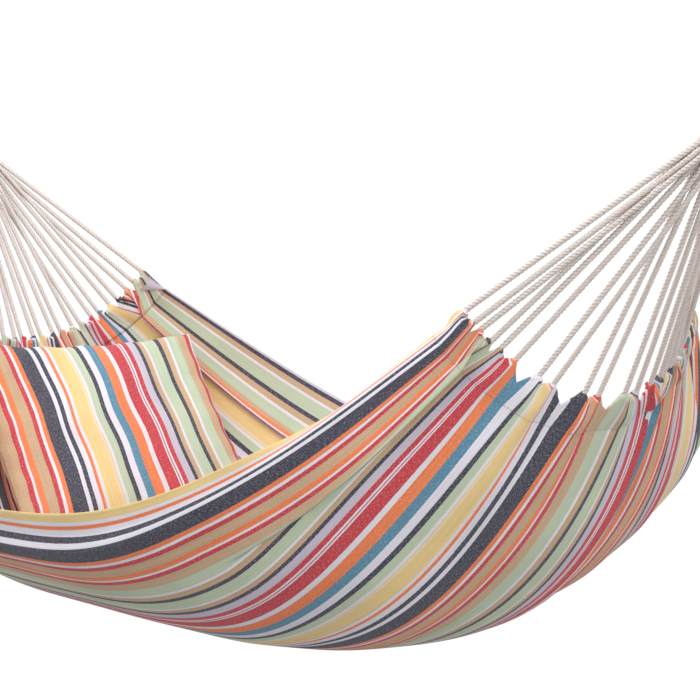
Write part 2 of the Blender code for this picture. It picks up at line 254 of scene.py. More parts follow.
# ---------------------------------------------------------------- materials
PALE_FLECK, STITCH_COLOR = (0.80, 0.77, 0.80), (0.20, 0.17, 0.16)
YARN_PITCH, STITCH_PITCH = 0.0011, 0.0045
EDGE_WOBBLE = 0.0016                # how far the stripes' edges wander, from side to side
# the cord's pale and middle tones, then painted shade for the grooves between its strands
CORD_PALE, CORD_MID, CORD_GROOVE_SHADE = (0.88, 0.81, 0.77), (0.74, 0.65, 0.60), (0.52, 0.42, 0.37)
STEEL_BRIGHT, STEEL_WORN = (0.62, 0.62, 0.63), (0.44, 0.43, 0.42)


def value(node_input, number):
    node_input.default_value = number


class Nodes:
    """Short calls for building one material's node tree."""

    def __init__(self, name):
        self.mat = bpy.data.materials.new(name)
        self.mat.use_nodes = True
        self.tree = self.mat.node_tree
        self.shader = self.tree.nodes["Principled BSDF"]

    def node(self, kind, **settings):
        made = self.tree.nodes.new(kind)
        for key, setting in settings.items():
            setattr(made, key, setting)
        return made

    def link(self, out, into):
        self.tree.links.new(out, into)

    def feed(self, node, index, source):
        """Sets an input to a number or colour, or links it to another node's output."""
        if isinstance(source, (int, float)):
            node.inputs[index].default_value = source
        elif isinstance(source, tuple):
            node.inputs[index].default_value = (*source, 1.0)[:len(node.inputs[index].default_value)]
        else:
            self.link(source, node.inputs[index])

    def math(self, operation, a, b=0.0, clamp=False):
        made = self.node("ShaderNodeMath", operation=operation, use_clamp=clamp)
        self.feed(made, 0, a)
        self.feed(made, 1, b)
        return made.outputs[0]

    def mix(self, factor, a, b, mode="MIX"):
        made = self.node("ShaderNodeMix", data_type="RGBA", blend_type=mode)
        self.feed(made, 0, factor)
        self.feed(made, 6, a)
        self.feed(made, 7, b)
        return made.outputs[2]

    def combine(self, x, y, z=0.0):
        made = self.node("ShaderNodeCombineXYZ")
        for index, source in enumerate((x, y, z)):
            self.feed(made, index, source)
        return made.outputs[0]

    def noise(self, vector, scale, detail=2.0, roughness=0.5):
        made = self.node("ShaderNodeTexNoise")
        self.link(vector, made.inputs["Vector"])
        value(made.inputs["Scale"], scale)
        value(made.inputs["Detail"], detail)
        value(made.inputs["Roughness"], roughness)
        return made.outputs["Fac"]

    def grain(self, u, v, u_scale, v_scale, detail, roughness=0.5):
        """Noise whose cells are 1/u_scale wide along u and 1/v_scale along v."""
        stretched = self.combine(self.math("MULTIPLY", u, u_scale), self.math("MULTIPLY", v, v_scale))
        return self.noise(stretched, 1.0, detail, roughness)

    def spread(self, source, low, high, to_low=0.0, to_high=1.0):
        """The source from low to high, eased, as a value from to_low to to_high."""
        made = self.node("ShaderNodeMapRange", interpolation_type="SMOOTHSTEP")
        self.link(source, made.inputs[0])
        for index, number in enumerate((low, high, to_low, to_high), start=1):
            value(made.inputs[index], number)
        return made.outputs[0]

    def bump(self, height, strength, distance, base=None):
        made = self.node("ShaderNodeBump")
        value(made.inputs["Strength"], strength)
        value(made.inputs["Distance"], distance)
        self.link(height, made.inputs["Height"])
        if base is not None:
            self.link(base, made.inputs["Normal"])
        return made.outputs["Normal"]

    def uv(self):
        """The two cloth coordinates."""
        made = self.node("ShaderNodeUVMap", uv_map="cloth")
        split = self.node("ShaderNodeSeparateXYZ")
        self.link(made.outputs[0], split.inputs[0])
        return split.outputs[0], split.outputs[1]


def stripe_ramp(nodes, bands, start, end, place_in):
    """A constant ramp over bands that run from start to end, in millimetres."""
    ramp = nodes.node("ShaderNodeValToRGB")
    ramp.color_ramp.interpolation = "CONSTANT"
    elements, at = ramp.color_ramp.elements, 0.0
    while len(elements) > 1:
        elements.remove(elements[-1])
    for index, (color, width) in enumerate(bands):
        element = elements[0] if index == 0 else elements.new(at / (end - start))
        element.position = at / (end - start)
        element.color = (*YARN[color], 1.0)
        at += width
    scaled = nodes.math("DIVIDE", nodes.math("SUBTRACT", place_in, start / 1000), (end - start) / 1000)
    nodes.link(scaled, ramp.inputs[0])
    return ramp.outputs[0]


def striped_cotton():
    """Plain-woven cotton in lengthwise stripes; u is metres across the pattern, v metres along."""
    n = Nodes("striped_cotton")
    across, along = n.uv()
    wobble = n.grain(across, along, 60, 260, 3.0)
    edge = n.math("ADD", across, n.math("MULTIPLY", n.math("SUBTRACT", wobble, 0.5), EDGE_WOBBLE))
    repeat = sum(width for _, width in PATTERN)
    where = n.math("FLOORED_MODULO", edge, repeat / 1000)
    half = len(PATTERN) // 2
    middle = sum(width for _, width in PATTERN[:half])
    first = stripe_ramp(n, PATTERN[:half], 0.0, middle, where)
    second = stripe_ramp(n, PATTERN[half:], middle, repeat, where)
    stripe = n.mix(n.math("GREATER_THAN", where, middle / 1000), first, second)
    # pale yarn showing through: flecks along the warp and, finer, along the weft
    warp = n.grain(across, along, 900, 230, 2.0, 0.7)
    weft = n.grain(across, along, 260, 1100, 2.0, 0.7)
    fleck = n.math("ADD", n.spread(warp, 0.50, 0.72, 0.0, 0.36), n.spread(weft, 0.50, 0.74, 0.0, 0.28))
    color = n.mix(fleck, stripe, PALE_FLECK)
    # slow changes of tone over the cloth, and single paler and darker warp threads
    shade = n.noise(n.combine(across, along), 7.0, 3.0)
    thread = n.grain(across, along, 420, 3, 1.0)
    tone = n.math("ADD", n.spread(shade, 0.3, 0.7, 0.93, 1.03), n.spread(thread, 0.3, 0.7, -0.05, 0.05))
    grey = n.combine(tone, tone, tone)
    color = n.mix(1.0, color, grey, "MULTIPLY")
    # the hems' stitch lines
    dash = n.spread(n.math("SINE", n.math("MULTIPLY", across, 2 * math.pi / STITCH_PITCH)), -0.5, 0.0)
    off_line = n.math("ABSOLUTE", n.math("SUBTRACT", n.math("ABSOLUTE", along), STITCH_AT))
    stitch = n.math("MULTIPLY", n.spread(off_line, 0.0006, 0.0013, 0.55, 0.0), dash)
    color = n.mix(stitch, color, STITCH_COLOR)
    n.link(color, n.shader.inputs["Base Color"])
    # the weave, its slubs and a fine crinkle
    yarn = 2 * math.pi / YARN_PITCH
    weave = n.math("MULTIPLY", n.math("SINE", n.math("MULTIPLY", across, yarn)),
                   n.math("SINE", n.math("MULTIPLY", along, yarn)))
    slub = n.math("ADD", warp, weft)
    fine = n.bump(n.math("ADD", n.math("MULTIPLY", weave, 0.35), slub), 0.55, 0.0005)
    crinkle = n.grain(across, along, 34, 46, 4.0, 0.6)
    n.link(n.bump(crinkle, 0.35, 0.004, fine), n.shader.inputs["Normal"])
    value(n.shader.inputs["Roughness"], 0.93)
    value(n.shader.inputs["Specular IOR Level"], 0.25)
    value(n.shader.inputs["Sheen Weight"], 0.10)
    value(n.shader.inputs["Sheen Roughness"], 0.5)
    return n.mat


def cotton_cord():
    """Twisted cotton, with painted shade in the grooves between its strands: u is turns round the cord,
    following the twist, and v metres along it.
    """
    n = Nodes("cotton_cord")
    turn, along = n.uv()
    lobe = n.math("ABSOLUTE", n.math("SUBTRACT", n.math("FRACT", n.math("MULTIPLY", turn, 3.0)), 0.5))
    groove = n.spread(lobe, 0.26, 0.5, 0.0, 1.0)
    ridge = n.math("SUBTRACT", 1.0, groove)
    fibre = n.grain(turn, along, 34, 120, 3.0, 0.7)
    body = n.mix(n.spread(fibre, 0.3, 0.7), CORD_MID, CORD_PALE)
    # painted shade: the colour darkens towards the grooves between the strands
    unshaded_share = n.math("SUBTRACT", 1.0, n.math("MULTIPLY", groove, 0.6))
    n.link(n.mix(unshaded_share, CORD_GROOVE_SHADE, body), n.shader.inputs["Base Color"])
    n.link(n.bump(n.math("ADD", fibre, n.math("MULTIPLY", ridge, 2.0)), 0.6, 0.0006),
           n.shader.inputs["Normal"])
    value(n.shader.inputs["Roughness"], 0.95)
    value(n.shader.inputs["Specular IOR Level"], 0.2)
    value(n.shader.inputs["Sheen Weight"], 0.15)
    return n.mat


def bright_steel():
    """Drawn steel wire: fine lines along it, and a little handling wear."""
    n = Nodes("bright_steel")
    around, along = n.uv()
    lines = n.grain(around, along, 60, 30, 3.0)
    wear = n.grain(around, along, 3, 60, 4.0)
    n.link(n.mix(n.spread(wear, 0.35, 0.75), STEEL_BRIGHT, STEEL_WORN), n.shader.inputs["Base Color"])
    n.link(n.spread(wear, 0.3, 0.8, 0.20, 0.42), n.shader.inputs["Roughness"])
    n.link(n.bump(lines, 0.12, 0.0002), n.shader.inputs["Normal"])
    value(n.shader.inputs["Metallic"], 1.0)
    return n.mat


COTTON, CORD, STEEL = striped_cotton(), cotton_cord(), bright_steel()


# ---------------------------------------------------------------- camera and light
# Places are from the middle of the span.
CAMERA_AT, CAMERA_TO = np.array([3.047, -2.389, -0.086]), np.array([0.2047, 0.0, -0.3652])
CAMERA_LENS, CAMERA_SENSOR = 114.5, 36.0
LAMPS_TO = np.array([0.0, 0.0, -0.6])
LAMPS = (           # name, place, width, power
    ("key", (-0.3, -1.3, 2.3), 2.6, 54),
    ("fill", (3.2, 0.9, 1.3), 2.0, 14),
    ("side", (3.4, -1.6, -0.5), 1.6, 12),
)
SKY = ((0.0, 0.27), (0.26, 0.27), (0.35, 1.0), (0.60, 1.0), (1.0, 0.80))   # height, brightness
SKY_STRENGTH = 1.02


def make_camera():
    camera = bpy.data.cameras.new("camera")
    camera.lens, camera.sensor_width = CAMERA_LENS, CAMERA_SENSOR
    eye = bpy.data.objects.new("camera", camera)
    bpy.context.scene.collection.objects.link(eye)
    eye.location = Vector(ORIGIN + CAMERA_AT)
    eye.rotation_mode = "QUATERNION"
    eye.rotation_quaternion = (Vector(ORIGIN + CAMERA_TO) - eye.location).to_track_quat("-Z", "Y")
    bpy.context.scene.camera = eye


def make_lamps():
    for name, at, size, power in LAMPS:
        light = bpy.data.lights.new(name, "AREA")
        light.shape, light.size, light.energy = "DISK", size, power
        lamp = bpy.data.objects.new(name, light)
        bpy.context.scene.collection.objects.link(lamp)
        lamp.location = Vector(ORIGIN + np.array(at))
        aim = Vector(ORIGIN + LAMPS_TO) - lamp.location
        lamp.rotation_mode = "QUATERNION"
        lamp.rotation_quaternion = aim.to_track_quat("-Z", "Y")


def make_sky():
    """White at the height of the camera, dark below and a little darker above."""
    world = bpy.data.worlds.new("studio")
    bpy.context.scene.world = world
    world.use_nodes = True
    tree = world.node_tree
    where = tree.nodes.new("ShaderNodeTexCoord")
    split = tree.nodes.new("ShaderNodeSeparateXYZ")
    ramp = tree.nodes.new("ShaderNodeValToRGB")
    height = tree.nodes.new("ShaderNodeMapRange")
    height.inputs[1].default_value, height.inputs[2].default_value = -1.0, 1.0
    tree.links.new(where.outputs["Generated"], split.inputs[0])
    tree.links.new(split.outputs[2], height.inputs[0])
    tree.links.new(height.outputs[0], ramp.inputs[0])
    elements = ramp.color_ramp.elements
    for index, (at, level) in enumerate(SKY):
        element = elements[index] if index < 2 else elements.new(at)
        element.position = at
        element.color = (level, level, level, 1.0)
    background = tree.nodes["Background"]
    tree.links.new(ramp.outputs[0], background.inputs[0])
    background.inputs[1].default_value = SKY_STRENGTH


make_camera()
make_lamps()
make_sky()
bpy.context.scene.view_settings.view_transform = "Standard"


# ---------------------------------------------------------------- cords, whipping, eyes and rings
def pull_frame(head):
    """The gather point, the pull direction, and the bundle's two cross directions."""
    side = -1 if head else 1
    g = np.array([side * SPAN / 2, 0, 0]) + ORIGIN
    layer = np.array([PULL[2] * side, 0.0, -PULL[0]])
    return g, PULL * np.array([side, 1, 1]), np.array([0.0, 1.0, 0.0]), layer


def resample(path, step, closed=False):
    """Points at even distances along a polyline, those distances, and its whole length."""
    path = np.asarray(path, float)
    if closed:
        path = np.vstack([path, path[:1]])
    run = np.concatenate([[0], np.cumsum(np.linalg.norm(np.diff(path, axis=0), axis=1))])
    count = max(2, int(round(run[-1] / step)) + 1)
    at = np.linspace(0, run[-1], count)
    if closed:
        at = at[:-1]
    return np.stack([np.interp(at, run, path[:, i]) for i in range(3)], axis=-1), at, run[-1]


ROPE_STRANDS, ROPE_SIDES = 3, 9
ROPE_GROOVE = 0.128         # how much lower the rope is between its strands' crests
ROPE_START = [0.3, 0.9, 0.2]        # any direction that no path starts in
CORD_CREST = 1.14           # the crests' distance from a loop cord's middle, over its radius


def rope(name, path, radius, pitch, step, closed=False):
    """A three-strand twisted rope along a path; its mesh lines follow the twist.  The radius
    is to the strands' crests, and pitch is the length of one turn of the twist."""
    points, at, total = resample(path, step, closed)
    if closed:
        pitch = total / round(total / pitch)        # a whole number of turns meets itself
    tangent = np.roll(points, -1, axis=0) - np.roll(points, 1, axis=0)
    if not closed:
        tangent[0], tangent[-1] = points[1] - points[0], points[-1] - points[-2]
    tangent = unit(tangent)
    side = unit(np.cross(tangent[0], ROPE_START))
    verts, uvs = [], []
    for i, (p, t) in enumerate(zip(points, tangent)):
        side = unit(side - t * np.dot(side, t))
        other = np.cross(t, side)
        for j in range(ROPE_SIDES):
            a = 2 * math.pi * (j / ROPE_SIDES + at[i] / pitch)
            r = radius * (1 if j % ROPE_STRANDS == 0 else 1 - ROPE_GROOVE)
            verts.append(p + (side * math.cos(a) + other * math.sin(a)) * r)
            uvs.append(((j + 0.5) / ROPE_SIDES, at[i]))
    rows = len(points)
    faces = grid_faces(rows, ROPE_SIDES, closed_rows=closed, closed_cols=True)
    if not closed:
        faces += end_caps(rows, ROPE_SIDES)
    return mesh_piece(name, verts, faces, CORD, uvs)


def bundle_slots(head):
    """Each strand's place in the bundle's section: up one half's columns, down the other's."""
    _, _, across, layer = pull_frame(head)
    out = []
    for c, count in enumerate(COLUMNS):
        for j in range(count):
            step = (j - (count - 1) / 2) * PITCH * (1 if c < len(COLUMNS) / 2 else -1)
            out.append(across * ((c - (len(COLUMNS) - 1) / 2) * PITCH) + layer * step)
    return out


TURN_POINTS, BEND_POINTS = 13, 6


def loop_path(head, k, slots, turn_u, turn_r):
    """A loop cord's route: out of the bundle, down a leg, round its tab, and back."""
    g, d, _, _ = pull_frame(head)
    p, strand, hem, _ = (v[0] for v in hem_frames(np.array([turn_u])))
    turn = [place(p - hem * turn_r * math.cos(a) + strand * (turn_r * (1 - math.sin(a)) + TURN_LOW), head)
            for a in np.linspace(0, math.pi, TURN_POINTS)]
    legs = []
    for slot, foot in ((slots[2 * k], turn[0]), (slots[2 * k + 1], turn[-1])):
        face = g + d * FACE + slot
        into, away = face + d * MOUTH, face + unit(foot - face) * MOUTH
        bend = [bezier(into, face, away, t) for t in np.linspace(0, 1, BEND_POINTS)]
        legs.append([g + d * CORD_END + slot] + bend)
    return legs[0] + turn + legs[1][::-1]


def make_loops(head):
    end = end_name(head)
    slots = bundle_slots(head)
    for k, (turn_u, turn_r) in enumerate(zip(*tab_turns(head))):
        path = loop_path(head, k, slots, turn_u, turn_r)
        cord = rope("loop_%s_%02d" % (end, k + 1), path, CORD_D / 2 * CORD_CREST, pitch=0.020, step=0.0022)
        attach(cord, "hammock")
        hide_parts("cord_%s_%02d" % (end, k + 1))


WHIP_POINTS = 40            # points to each turn


def make_whipping(head):
    """A close helix of cord round the bundle."""
    end = end_name(head)
    g, d, across, layer = pull_frame(head)
    turn_d = WHIP_OUT - WHIP_IN
    turns = (WHIP[1] - WHIP[0]) / turn_d - 1
    angles = np.linspace(0, 2 * math.pi * turns, int(turns * WHIP_POINTS))
    radius = (WHIP_OUT + WHIP_IN) / 2
    path = [g + d * (WHIP[0] + turn_d * (0.5 + a / (2 * math.pi)))
            + (across * math.cos(a) + layer * math.sin(a)) * radius for a in angles]
    piece = rope("whipping_turns_" + end, path, turn_d / 2, pitch=0.012, step=0.0025)
    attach(piece, "hammock")
    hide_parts("whipping_" + end)


# The core as (distance along the pull, radius), its strands, and their twist in radians a metre.
CORE = ((0.006, 0.028), (0.030, 0.0285), (0.040, 0.025), (0.050, 0.019), (0.060, 0.0135), (0.067, 0.011))
CORE_STRANDS, CORE_TWIST, CORE_GROOVE = 12, 9, 0.12
CORE_ROWS, CORE_SIDES = 34, 72
SEIZING_AT, SEIZING_RISE, SEIZING_TURNS = 0.058, 0.0006, 3      # rise for each radian
SEIZING_R, SEIZING_CORD_R, SEIZING_OVAL = 0.0165, 0.0018, 1.05


def make_core(head):
    """The bundle's strands laid up as one, narrowing out of the whipping to the eye."""
    g, d, across, layer = pull_frame(head)
    along, radii = np.array(CORE).T
    verts, uvs = [], []
    for e in np.linspace(along[0], along[-1], CORE_ROWS):
        r = np.interp(e, along, radii)
        for j in range(CORE_SIDES):
            a = 2 * math.pi * j / CORE_SIDES
            turned = a + e * CORE_TWIST
            bulge = abs(math.cos(CORE_STRANDS / 2 * turned))
            out = across * math.cos(a) + layer * math.sin(a)
            verts.append(g + d * e + out * (r * (1 - CORE_GROOVE + CORE_GROOVE * bulge)))
            uvs.append((turned * CORE_STRANDS / (2 * math.pi * ROPE_STRANDS), e))
    faces = grid_faces(CORE_ROWS, CORE_SIDES, closed_cols=True) + end_caps(CORE_ROWS, CORE_SIDES)
    return mesh_piece("eye_core_" + end_name(head), verts, faces, CORD, uvs)


def make_seizing(head):
    """Three turns of thin cord round the neck of the eye."""
    g, d, across, layer = pull_frame(head)
    path = []
    for a in np.linspace(0, 2 * math.pi * SEIZING_TURNS, SEIZING_TURNS * WHIP_POINTS):
        out = across * math.cos(a) + layer * math.sin(a) * SEIZING_OVAL
        path.append(g + d * (SEIZING_AT + SEIZING_RISE * a) + out * SEIZING_R)
    return rope("eye_seizing_" + end_name(head), path, SEIZING_CORD_R, pitch=0.008, step=0.002)


def make_eye(head):
    """An oval eye of rope, with the core that it grows from and the seizing round its neck."""
    end = end_name(head)
    g, d, _, layer = pull_frame(head)
    oval = [g + d * (EYE_C + EYE_A * math.cos(a)) + layer * (EYE_B * math.sin(a))
            for a in np.linspace(0, 2 * math.pi, 96, endpoint=False)]
    eye = rope("eye_rope_" + end, oval, EYE_R, pitch=0.048, step=0.0028, closed=True)
    for piece in (eye, make_core(head), make_seizing(head)):
        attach(piece, "hammock")
    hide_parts("eye_" + end)


RING_ROWS, RING_SIDES = 120, 24
WELD_SWELL, WELD_ROWS = 0.06, 1.6   # how much thicker the weld is, and its half width in rows


def make_ring(head):
    """A round steel ring with its butt weld."""
    end = end_name(head)
    g, d, across, layer = pull_frame(head)
    centre = g + d * RING_AT
    verts, uvs = [], []
    for i in range(RING_ROWS):
        a = 2 * math.pi * i / RING_ROWS
        out = d * math.cos(a) + across * math.sin(a)
        wire = RING_WIRE * (1 + WELD_SWELL * math.exp(-((i - RING_ROWS // 4) / WELD_ROWS) ** 2))
        for j in range(RING_SIDES):
            b = 2 * math.pi * j / RING_SIDES
            verts.append(centre + out * RING_R + (out * math.cos(b) + layer * math.sin(b)) * wire)
            uvs.append((j / RING_SIDES, a * RING_R))
    faces = grid_faces(RING_ROWS, RING_SIDES, closed_rows=True, closed_cols=True)
    ring = mesh_piece("ring_steel_" + end, verts, faces, STEEL, uvs)
    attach(ring, "rings")
    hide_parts("ring_" + end)


for at_head in (True, False):
    make_loops(at_head)
    make_whipping(at_head)
    make_eye(at_head)
    make_ring(at_head)


# ---------------------------------------------------------------- the bed
def thread_u(q, s):
    """Where thread q lies across the bed at s, before its pleats."""
    middle = monotone(MID_SPREAD, q)
    return middle + (thread_at_hem(q, s < 0) - middle) * s * s


# Pleats: the centre thread, half the width of the folded-back part, how far in metres its two
# sides step in and out, and the s where it starts and where it is full.
PLEATS = (
    (-0.762, 0.0190, 0.010, 0.60, 0.90),      # under the near edge's band
    (0.0350, 0.0465, 0.007, 0.15, 0.75),      # by the keel at the foot
    (0.7955, 0.0480, 0.007, -0.15, -0.60),    # behind the far edge's band at the head
    (0.335, 0.030, 0.006, 0.45, 0.92),        # in the bunched half of the foot hem
    (0.545, 0.030, 0.006, 0.40, 0.92),
    (0.760, 0.028, 0.006, 0.45, 0.92),
)
PLEAT_EASE = 0.26           # the reach, in q, over which the cloth beside a pleat is drawn to it
PLEAT_FADE = 0.10           # and the reach over which its step dies away
PLEAT_LEAST = 0.0004        # a pleat with less than this as its half width is left out


def pleat_shift(q, s):
    """How far the pleats move each thread along the section, and out of it.  Inside a pleat
    the cloth runs back at its own rate, so that three layers lie over each other."""
    shift, step = np.zeros_like(q), np.zeros_like(q)
    for centre, half, proud, start, full in PLEATS:
        strength = float(smooth((s - start) / (full - start)))
        h = half * strength
        if h < PLEAT_LEAST:
            continue
        x = q - centre
        past = np.abs(x) - h
        shift += np.where(past < 0, -2 * x, -np.sign(x) * 2 * h * (1 - smooth(past / PLEAT_EASE)))
        side = np.where(past < 0, np.sin(math.pi / 2 * np.clip(x / h, -1, 1)), np.sign(x))
        step += side * proud * strength * np.exp(-np.maximum(past, 0) / PLEAT_FADE)
    return shift, step


ROLL_THREAD, ROLL_WIDTH = -0.915, 0.064     # the thread where the roll begins, and its width
LIP_IN, LIP_BACK = 1.15, 0.75               # radians that the lip bends in, and then back
CURL = 2.9                                  # radians that the edge curls over near the foot


def roll_edge(q, s, u, points, inner):
    """The near edge's last few centimetres: a soft lip with its selvage standing up, which
    curls right over inwards near the foot."""
    width = blend(HEM_ARC, BED_WIDTH, s, 4)
    first = np.searchsorted(q, ROLL_THREAD)
    past = np.maximum(u[first] - u[:first + 1], 0)[::-1] * width / 2
    t = past / ROLL_WIDTH
    lip = LIP_IN * smooth(t / 0.30) - LIP_BACK * smooth((t - 0.44) / 0.20)
    angle = lip + (CURL * t - lip) * smooth((s - 0.72) / 0.20)
    angle *= smooth((s + 1.02) / 0.2)       # flat again at the head hem
    tangent = unit(points[first // 3] - points[first])
    middle = (angle[1:] + angle[:-1]) / 2
    reach = np.diff(past)[:, None]
    moves = (tangent * np.cos(middle)[:, None] + inner[first] * np.sin(middle)[:, None]) * reach
    spot = points[first] + np.cumsum(moves, axis=0)
    rolled = points.copy()
    rolled[:first, 1:] = spot[::-1, 1:]
    return rolled


def tab_wave(q):
    """Each thread's place in its tab: -1 to 1 from notch to notch, 0 in the tab's middle."""
    return (q + 1) * LOOPS / 2 % 1 * 2 - 1


TAB_PHASE = RANDOM.uniform(0, 2 * math.pi, LOOPS)


def small_pleats(q):
    """The bunched cloth's small pleats in each tab, 0 to 1."""
    k = tab_of(q)
    x = tab_wave(q)
    wave = 0.5 + 0.5 * np.cos(2 * math.pi * (1.6 + 0.35 * np.sin(TAB_PHASE[k])) * x + TAB_PHASE[k])
    return wave * smooth((1 - np.abs(x)) / 0.3)


# Wrinkles: waves across the bed and along it, phase and size.
WRINKLES = [(RANDOM.uniform(4, 16), RANDOM.uniform(2, 9), RANDOM.uniform(0, 6.28), RANDOM.uniform(0.3, 1.0))
            for _ in range(14)]
WRINKLE = 0.00045                   # height of the largest, in metres
# Heights at the hem and the distances from it over which they die away, in metres.
GATHER, GATHER_FADE = 0.0085, 0.11
TAB_PLEAT, TAB_PLEAT_FADE = 0.0060, 0.08
FOLD, FOLD_FADE = 0.0045, 0.28
# The foot end beside the keel is pulled in: how far, at which s and thread, and how widely.
PULLED_IN, PULLED_S, PULLED_Q, PULLED_S_WIDTH, PULLED_Q_WIDTH = 0.020, 0.82, 0.22, 0.2, 0.35


def relief(q, s, to_hem):
    """Gathers, folds and wrinkles: how far each thread stands in from the section."""
    out = -GATHER * np.cos(math.pi * tab_wave(q)) * np.exp(-to_hem / GATHER_FADE)
    out += -TAB_PLEAT * small_pleats(q) * np.exp(-to_hem / TAB_PLEAT_FADE)
    folds = np.sin(9.3 * q + 1.1 + 2 * s) + 0.7 * np.sin(17.0 * q - 2.0 * s)
    out += FOLD * np.exp(-to_hem / FOLD_FADE) * folds
    pulled = math.exp(-((s - PULLED_S) / PULLED_S_WIDTH) ** 2)
    out += PULLED_IN * pulled * np.exp(-((q - PULLED_Q) / PULLED_Q_WIDTH) ** 2)
    for across, along, phase, size in WRINKLES:
        out += WRINKLE * size * np.sin(across * q * 2 + along * s * 2 + phase)
    return out


def bed_frames(u, s):
    """Points of the bed, and its inward normals."""
    e = 0.004               # the step that the slopes are taken over
    p = bed_row(u, s)
    across = bed_row(u + e, s) - bed_row(u - e, s)
    along = bed_row(u, s + e) - bed_row(u, s - e)
    return p, unit(np.cross(along, across))


def keel_rows():
    """Values of s at even distances along the keel line, and those distances."""
    fine = np.linspace(0, STITCH_S, 500)
    keel = np.array([bed_row(np.zeros(1), s)[0] for s in fine])
    run = np.concatenate([[0], np.cumsum(np.linalg.norm(np.diff(keel, axis=0), axis=1))])
    at = np.linspace(0, run[-1], BED_ROWS + 1)
    return np.interp(at, run, fine), at


FOLD_SPARE, FOLD_FULLNESS = 0.0018, 0.0022      # room round the cord, and more in the pleats
NOTCH_WIDE = 0.030                              # a notch this wide has its full depth
CORNER_OUT, CORNER_DOWN = 0.006, 0.010          # where the hem's two corners end


def hem_edge(q, head):
    """For each thread: the centre of the fold at the hem, its radius, the way its top points,
    and the inward direction.  In a tab the fold follows the cord's turn; between tabs the
    hem's raw edge dips in a ragged V."""
    turn_u, turn_r = tab_turns(head)
    p, strand, hem, inner = hem_frames(turn_u)
    k = tab_of(q)
    x = tab_wave(q)
    angle = TAB_ANGLE * np.clip(x / TAB_SHARE, -1, 1)
    r = turn_r[k]
    centre = (p[k] + hem[k] * (r * np.sin(angle))[:, None]
              + strand[k] * (r * (1 - np.cos(angle)) + TURN_LOW)[:, None])
    top = strand[k] * np.cos(angle)[:, None] - hem[k] * np.sin(angle)[:, None]
    radius = np.full(len(q), CORD_D / 2 + FOLD_SPARE) + FOLD_FULLNESS * small_pleats(q)
    inward = inner[k].copy()

    def tab_side(tab, way):
        return p[tab] + hem[tab] * (way * turn_r[tab] * math.sin(TAB_ANGLE)) \
            + strand[tab] * (turn_r[tab] * (1 - math.cos(TAB_ANGLE)))

    # notches: from the side of one tab to the side of the next
    beyond = np.abs(x) > TAB_SHARE
    for i in np.flatnonzero(beyond):
        a = k[i]
        b = a + (1 if x[i] > 0 else -1)
        share = (abs(x[i]) - TAB_SHARE) / (1 - TAB_SHARE)    # 0 at the tab's side, 1 mid notch
        side = math.copysign(1, x[i])
        mine = tab_side(a, side)
        if 0 <= b < LOOPS:
            theirs = tab_side(b, -side)
            gap = np.linalg.norm(theirs - mine)
            depth = NOTCH_DEPTH * np.clip(gap / NOTCH_WIDE, 0.55, 1.0)
            ragged = 0.0012 * math.sin(i * 2.1) + 0.0008 * math.sin(i * 5.3)
            fall = depth * (0.35 * share + 0.65 * share * share) + ragged * share
            centre[i] = mine + (theirs - mine) * (0.5 * share ** 1.3) - strand[a] * fall
        else:
            centre[i] = mine + hem[a] * (side * CORNER_OUT * share) - strand[a] * CORNER_DOWN * share
        top[i] = strand[a]
        radius[i] = CLOTH + (radius[i] - CLOTH) * (1 - share) ** 2.5
        inward[i] = inner[a]
    return centre, radius, top, inward


DRAW, DRAW_FADE = 0.55, 0.07        # its share at the stitch line, and the metres it fades over


def draw_in(q, s, to_hem):
    """How far each thread is drawn towards its tab's middle on the way to the hem."""
    k = tab_of(q)
    x = tab_wave(q)
    half = (tab_pitch(s < 0) / 2)[k]
    radius = tab_turns(s < 0)[1][k] / (HEM_ARC / 2)
    tight = np.minimum(radius / (TAB_SHARE * half), 1)
    inner = x * tight
    edge = TAB_SHARE * tight
    outer = np.sign(x) * (edge + (np.abs(x) - TAB_SHARE) * (1 - edge) / (1 - TAB_SHARE))
    target = np.where(np.abs(x) < TAB_SHARE, inner, outer)
    return (target - x) * half * DRAW * math.exp(-(to_hem - HEM_DEPTH) / DRAW_FADE)


TAB_SWELL = 0.004           # how far a tab's front bulges out between stitch line and fold
FLAP_GAP = 0.0010           # from the front sheet's middle to the flap's at the stitch line


